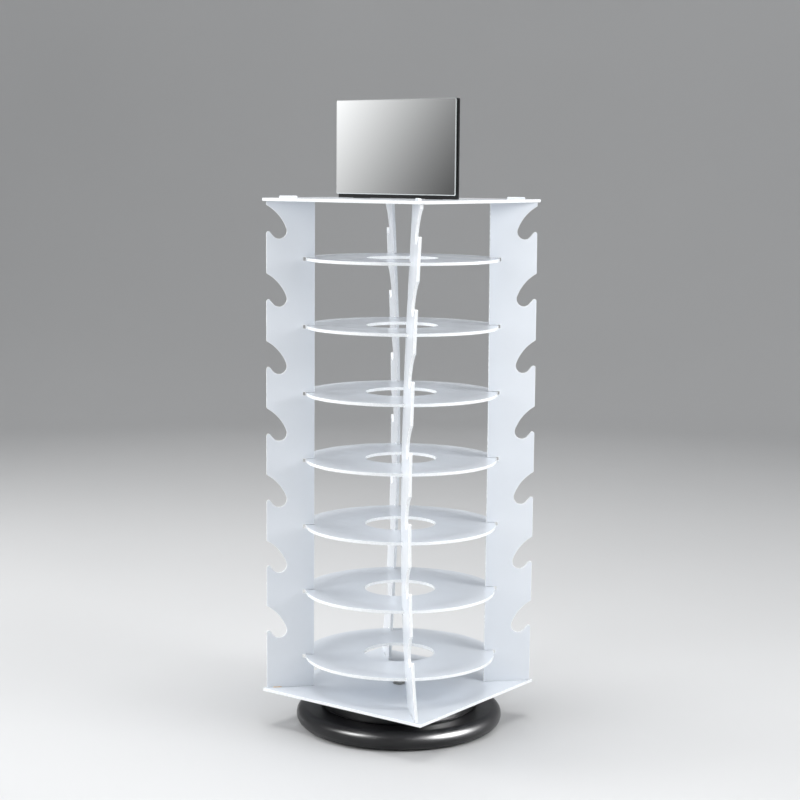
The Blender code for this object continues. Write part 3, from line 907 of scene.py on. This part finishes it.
def build_bearing():
    """Two grooved races, the balls between them and the cage that spaces the balls."""
    ball_low, ball_high = low_of("ball_01"), high_of("ball_01")
    ball_height = (ball_low.z + ball_high.z) / 2.0
    radius = (ball_high.z - ball_low.z) / 2.0
    lower = race_profile(low_of("race_lower").z, high_of("race_lower").z, ball_height, 1.0)
    made = turned(lower, 120)
    finished("lower_race", made, [RACE], "base", ["race_lower"], 30.0)
    upper = race_profile(high_of("race_upper").z, low_of("race_upper").z, ball_height, -1.0)
    made = turned(upper, 120)
    finished("upper_race", made, [RACE], "carousel", ["race_upper"], 30.0)
    pockets = []
    for number in range(1, BALLS + 1):
        name = f"ball_{number:02d}"
        angle = 2.0 * math.pi * (number - 1) / BALLS
        centre = (BALL_CIRCLE * math.cos(angle), BALL_CIRCLE * math.sin(angle))
        pockets.append(circle(centre, radius + GAP, 32))
        rows = arc((0.0, ball_height), radius, -90.0, 90.0, 16)
        rows[0] = (0.0, ball_height - radius)
        rows[-1] = (0.0, ball_height + radius)
        ball = turned(rows, 28, centre)
        finished(f"bearing_{name}", ball, [BALL], "bearing", [name], 80.0, False)
    low, high = low_of("ball_cage"), high_of("ball_cage")
    inner = circle((0.0, 0.0), 2.0 * BALL_CIRCLE - high.x, 120)
    made = sheet(circle((0.0, 0.0), high.x, 120), [inner, *pockets], low.z, high.z, 0.2, 2)
    finished("bearing_cage", made, [NYLON, NYLON], "bearing", ["ball_cage"])


# --------------------------------------------------------------------------------------
# Pivot
# --------------------------------------------------------------------------------------


def hexagon_reach(angle):
    """How far a hexagon of the M6 size reaches at this angle, with a corner at angle 0."""
    turn = (angle % (math.pi / 3.0)) - math.pi / 6.0
    return HEX_ACROSS / 2.0 / math.cos(turn)


def hexagon_row(limit):
    """A hexagon cut back to a round of this radius, as a chamfered nut is."""
    return lambda angle: min(hexagon_reach(angle), limit)


def thread_row(height):
    """The radius of an M6 thread at this height: a triangle wave that climbs with the angle."""

    def reach(angle):
        phase = (height / THREAD_PITCH - angle / (2.0 * math.pi)) % 1.0
        return BOLT_RADIUS - THREAD_DEPTH * abs(2.0 * phase - 1.0)

    return reach


def build_bolt():
    """An M6 bolt, head down: a chamfered hexagon, a plain shank and a real helical thread."""
    low, high = low_of("pivot_bolt").z, high_of("pivot_bolt").z
    head = low + BOLT_HEAD
    chamfered = HEX_ACROSS / 2.0 * 0.96
    rows = [(0.0, low), (chamfered - 0.3, low)]
    for step in range(5):
        rows.append((hexagon_row(chamfered + HEX_CHAMFER_STEP * step), low + 0.12 + 0.14 * step))
    rows += [(hexagon_reach, head - 0.05), (hexagon_row(HEX_ACROSS / 2.0 + 0.6), head)]
    rows += [(BOLT_RADIUS + 0.3, head), (BOLT_RADIUS, head + 0.3)]
    thread_start = high - THREAD_LENGTH
    rows.append((BOLT_RADIUS, thread_start - 0.5))
    step = THREAD_PITCH / THREAD_STEPS
    count = int((high - 0.7 - thread_start) / step)
    for index in range(count + 1):
        height = thread_start + index * step
        rows.append((thread_row(height), height))
    rows += [(BOLT_RADIUS - 0.75, high - 0.3), (BOLT_RADIUS - 1.05, high), (0.0, high)]
    made = turned(rows, 72)
    finished("pivot_bolt_m6", made, [ZINC], "carousel", ["pivot_bolt"], 40.0)


def build_nut():
    """A hexagon chamfered on both faces, with a countersunk bore."""
    low, high = low_of("pivot_nut").z, high_of("pivot_nut").z
    chamfered = HEX_ACROSS / 2.0 * 0.97
    cuts = [(hexagon_row(chamfered + HEX_CHAMFER_STEP * step), 0.16 * step) for step in range(1, 5)]
    outside = [(chamfered, low)] + [(row, low + rise) for row, rise in cuts]
    outside += [(row, high - rise) for row, rise in reversed(cuts)] + [(chamfered, high)]
    sunk = NUT_BORE + 0.5
    inside = [(sunk, high), (NUT_BORE, high - 0.5), (NUT_BORE, low + 0.5), (sunk, low)]
    made = turned(outside + inside, 72)
    finished("pivot_nut_m6", made, [ZINC], "carousel", ["pivot_nut"], 40.0)


def build_washers():
    for name, body in (("washer_lower", "base"), ("washer_upper", "carousel")):
        low, high = low_of(name), high_of(name)
        hole = circle((0.0, 0.0), BOLT_RADIUS + GAP, 48)
        made = sheet(circle((0.0, 0.0), high.x, 64), [hole], low.z, high.z, 0.15, 2)
        finished(name + "_m6", made, [ZINC, ZINC], body, [name])


GLUE_START = 121.5
GLUE_LENGTH = 9.5
GLUE_STEPS = 24
GLUE_TURNS = 6


def build_glue_trace():
    """A thin smear of dried glue where the front left fin meets the bottom plate: a quarter
    round along the corner, whose width and height wander and die away at both ends."""
    turn = Matrix.Rotation(math.radians(FINS["fin_front_left"]), 4, "Z")
    made = bmesh.new()
    side = FIN_ASIDE + SHEET / 2.0 + 0.12
    rows = []
    for index in range(GLUE_STEPS + 1):
        share = index / GLUE_STEPS
        swell = math.sin(math.pi * share) ** 0.6
        reach = GLUE_START + GLUE_LENGTH * share
        wide = (0.9 + 0.25 * math.sin(9.0 * share) + 0.15 * math.sin(23.0 * share)) * swell
        tall = (0.8 + 0.3 * math.sin(7.0 * share + 1.0)) * swell
        row = []
        for out, up in arc((0.0, 0.0), 1.0, 0.0, 90.0, GLUE_TURNS):
            place = (reach, side + 0.05 + wide * out, BOTTOM_TOP + 0.05 + tall * up)
            row.append(made.verts.new(Vector(place) * MM))
        row.append(made.verts.new(Vector((reach, side, BOTTOM_TOP + 0.04)) * MM))
        rows.append(row)
    for first, second in zip(rows, rows[1:]):
        for part in range(len(first)):
            after = (part + 1) % len(first)
            made.faces.new((first[part], first[after], second[after], second[part]))
    made.faces.new(rows[0])
    made.faces.new(rows[-1])
    bmesh.ops.transform(made, matrix=turn, verts=made.verts[:])
    finished("glue_trace", made, [GLUE], "carousel", (), 60.0, False)


# --------------------------------------------------------------------------------------
# Stage: floor, lights, camera
# --------------------------------------------------------------------------------------

CAMERA_AZIMUTH = 36.58
CAMERA_AWAY = 1.806
CAMERA_HEIGHT = 0.5697
CAMERA_ASIDE = -0.0014
CAMERA_PITCH = 7.36
CAMERA_ROLL = 0.47
CAMERA_LENS = 80.6

FLOOR_FLAT = 2200.0
FLOOR_SWEEP = 1200.0
WALL_TOP = 3200.0

# The card that the mirror reflects: its tone rises along a slope across and up the card.
CARD_AWAY = 1.9
CARD_HEIGHT = 0.66
CARD_HALF_WIDE = 0.45
CARD_HALF_TALL = 0.40
CARD_GRADE_ACROSS = 1.77
CARD_GRADE_UP = 1.05
CARD_GRADE_RANGE = (-0.62, 0.34)
CARD_GRADE_TONES = (0.03, 1.04)
CARD_GRADE_POWER = 2.25
CARD_STRENGTH = 1.20

# Each glow: name, azimuth from the camera, distance, height, half width, half height, strength.
GLOSS_CARDS = [
    ("gloss_card_right", 62.0, 1.88, 1.00, 1.15, 1.00, 72.0),
    ("gloss_card_left", -56.0, 1.80, 1.42, 0.62, 0.64, 55.0),
]


def towards(azimuth, away, height):
    """A point this far from the axis, at this azimuth from the mirror's front."""
    turn = math.radians(azimuth)
    return Vector((away * math.sin(turn), -away * math.cos(turn), height))


def add_stage_piece(name, made, look):
    """Turns a bmesh into a piece of the stage, which isn't part of the object."""
    mesh = bpy.data.meshes.new(name)
    made.to_mesh(mesh)
    made.free()
    mesh.shade_smooth()
    mesh.materials.append(look.material)
    piece = bpy.data.objects.new(name, mesh)
    bpy.context.scene.collection.objects.link(piece)
    return piece


def build_floor():
    """A seamless pale floor that sweeps up into a wall all the way round."""
    # The flat's edge comes twice, here and as the arc's start, so that the flat is shaded flat.
    profile = [(0.0, 0.0), (FLOOR_FLAT, 0.0)]
    profile += arc((FLOOR_FLAT, FLOOR_SWEEP), FLOOR_SWEEP, -90.0, 0.0, 24)
    profile += [(FLOOR_FLAT + FLOOR_SWEEP, WALL_TOP)]
    look = Look("pale_floor")
    tone = look.mix(look.noise(1.2, 2.0), (0.60, 0.605, 0.61), (0.64, 0.645, 0.65))
    rough = look.ramp(look.noise(3.0, 3.0), 0.3, 0.7, 0.38, 0.46)
    look.set(Base_Color=tone, Roughness=rough, Specular_IOR_Level=0.15)
    add_stage_piece("floor", turned(profile, 96, closed=False), look)


def add_softbox(name, place, aim, size, power):
    light = bpy.data.lights.new(name, "AREA")
    light.shape = "RECTANGLE"
    light.size, light.size_y = size
    light.energy = power
    lamp = bpy.data.objects.new(name, light)
    lamp.location = place
    lamp.rotation_euler = (Vector(aim) - Vector(place)).to_track_quat("-Z", "Y").to_euler()
    lamp.visible_camera = False
    bpy.context.scene.collection.objects.link(lamp)
    return lamp


# Each light: name, azimuth from the camera, distance, height, width, tallness, power in watts.
# A fill light isn't seen in any reflection, and a softbox isn't seen in the mirror.
SOFTBOXES = [
    ("softbox_right", 64.0, 1.60, 1.00, 2.0, 1.5, 12.5),
    ("fill_right", 60.0, 1.55, 1.05, 0.6, 0.8, 11.0),
    ("softbox_left", -42.0, 1.65, 1.00, 1.3, 1.5, 7.5),
    ("fill_left", -50.0, 1.60, 1.05, 0.5, 0.8, 4.0),
    ("fill_far_left", -101.0, 1.60, 0.70, 1.2, 1.2, 19.0),
    ("softbox_top", 0.0, 0.00, 2.30, 1.4, 1.4, 36.0),
    ("softbox_back", 180.0, 1.90, 1.40, 1.4, 0.9, 3.0),
]
LIGHTS_AIM = (0.0, 0.0, 0.25)
WORLD_STRENGTH = 0.075


def build_lights():
    """Wide soft lights with smaller fills to both sides of the camera, one overhead and one
    behind, with a little light from all round."""
    world = bpy.data.worlds.new("studio")
    world.use_nodes = True
    background = world.node_tree.nodes["Background"]
    background.inputs["Color"].default_value = (0.90, 0.94, 1.0, 1.0)
    background.inputs["Strength"].default_value = WORLD_STRENGTH
    bpy.context.scene.world = world
    all_but_mirror = bpy.data.collections.new("all_but_the_mirror")
    all_but_mirror.objects.link(bpy.data.objects["mirror_pane"])
    all_but_mirror.collection_objects[0].light_linking.link_state = "EXCLUDE"
    for name, azimuth, away, height, wide, tall, power in SOFTBOXES:
        place = towards(CAMERA_AZIMUTH + azimuth, away, height)
        lamp = add_softbox(name, place, LIGHTS_AIM, (wide, tall), power)
        lamp.visible_glossy = not name.startswith("fill")
        lamp.light_linking.receiver_collection = all_but_mirror


def add_card(look, middle, across, half_wide, half_tall):
    """An upright card that gives no light of its own to the scene: only reflections see it."""
    made = bmesh.new()
    corners = []
    for side, up in ((-1, -1), (1, -1), (1, 1), (-1, 1)):
        place = middle + across * half_wide * side + Vector((0.0, 0.0, half_tall * up))
        corners.append(made.verts.new(place))
    made.faces.new(corners)
    card = add_stage_piece(look.material.name, made, look)
    card.visible_camera = False
    card.visible_diffuse = False
    card.visible_shadow = False
    return card


def along(look, centre, direction):
    """How far a point lies past a centre, along a direction."""
    node = look.nodes.new("ShaderNodeVectorMath")
    node.operation = "DOT_PRODUCT"
    node.inputs[1].default_value = direction
    look.links.new(look.place, node.inputs[0])
    return look.math("SUBTRACT", node.outputs["Value"], direction.dot(centre))


def sideways(azimuth):
    """To the right of someone who stands at this azimuth and looks at the axis."""
    turn = math.radians(azimuth)
    return Vector((math.cos(turn), math.sin(turn), 0.0))


def build_mirror_card():
    """A graded card, light at its upper left and dark at its lower right, as the camera finds it
    in the mirror."""
    facing = -CAMERA_AZIMUTH
    middle = towards(facing, CARD_AWAY, CARD_HEIGHT)
    across = sideways(facing)
    face = (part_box("mirror_glass")[0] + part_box("mirror_glass")[1]) / 2.0
    face.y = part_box("mirror_glass")[0].y
    eye = towards(CAMERA_AZIMUTH, CAMERA_AWAY, CAMERA_HEIGHT)
    eye_behind = Vector((eye.x, 2.0 * face.y - eye.y, eye.z))
    ray = face - eye_behind
    outward = Vector((middle.x, middle.y, 0.0)).normalized()
    seen_middle = eye_behind + ray * (middle - eye_behind).dot(outward) / ray.dot(outward)
    look = Look("graded_card")
    look.set(Base_Color=(0.0, 0.0, 0.0, 1.0), Roughness=1.0, Specular_IOR_Level=0.0)
    look.set(Emission_Color=(1.0, 1.0, 1.0, 1.0))
    slope = Vector((0.0, 0.0, CARD_GRADE_UP)) - across * CARD_GRADE_ACROSS
    grade = look.ramp(along(look, seen_middle, slope), *CARD_GRADE_RANGE, *CARD_GRADE_TONES)
    light = look.math("POWER", grade, CARD_GRADE_POWER)
    look.set(Emission_Strength=look.math("MULTIPLY", light, CARD_STRENGTH))
    add_card(look, middle, across, CARD_HALF_WIDE, CARD_HALF_TALL)


def build_gloss_cards():
    """Two soft round glows, one to each side, that only the black turntable reflects. They are
    clear, so a reflection of anything behind them passes through."""
    receivers = bpy.data.collections.new("gloss_card_receivers")
    for name in ("base_shell_moulding", "turntable_drum"):
        receivers.objects.link(bpy.data.objects[name])
    for name, azimuth, away, height, half_wide, half_tall, strength in GLOSS_CARDS:
        middle = towards(CAMERA_AZIMUTH + azimuth, away, height)
        across = sideways(CAMERA_AZIMUTH + azimuth)
        look = Look(name)
        wide = along(look, middle, across / half_wide)
        tall = along(look, middle, Vector((0.0, 0.0, 1.0 / half_tall)))
        reach = look.math("ADD", look.math("MULTIPLY", wide, wide), look.math("MULTIPLY", tall, tall))
        glow = look.math("POWER", look.ramp(reach, 1.0, 0.0), 1.2)
        shine = look.nodes.new("ShaderNodeEmission")
        look.put(shine.inputs["Strength"], look.math("MULTIPLY", glow, strength))
        clear = look.nodes.new("ShaderNodeBsdfTransparent")
        both = look.nodes.new("ShaderNodeAddShader")
        look.put(both.inputs[0], shine.outputs[0])
        look.put(both.inputs[1], clear.outputs[0])
        look.put(look.nodes["Material Output"].inputs["Surface"], both.outputs[0])
        card = add_card(look, middle, across, half_wide, half_tall)
        card.light_linking.receiver_collection = receivers


def build_camera():
    """A long lens a little above the rack's middle, looking slightly down at it."""
    data = bpy.data.cameras.new("camera")
    data.sensor_width = 36.0
    data.lens = CAMERA_LENS
    data.clip_start, data.clip_end = 0.05, 30.0
    camera = bpy.data.objects.new("camera", data)
    bpy.context.scene.collection.objects.link(camera)
    right = sideways(CAMERA_AZIMUTH)
    camera.location = towards(CAMERA_AZIMUTH, CAMERA_AWAY, CAMERA_HEIGHT) + right * CAMERA_ASIDE
    turns = ((CAMERA_AZIMUTH, "Z"), (90.0 - CAMERA_PITCH, "X"), (CAMERA_ROLL, "Z"))
    azimuth, tilt, roll = (Matrix.Rotation(math.radians(angle), 4, axis) for angle, axis in turns)
    camera.rotation_euler = (azimuth @ tilt @ roll).to_euler()
    bpy.context.scene.camera = camera
    bpy.context.scene.view_settings.view_transform = "Standard"


build_fins()
build_rings()
build_plates()
build_mirror()
build_base_shell()
build_base_cover()
build_feet()
build_turntable_disc()
build_bearing()
build_bolt()
build_nut()
build_washers()
build_glue_trace()
build_floor()
build_lights()
build_mirror_card()
build_gloss_cards()
build_camera()
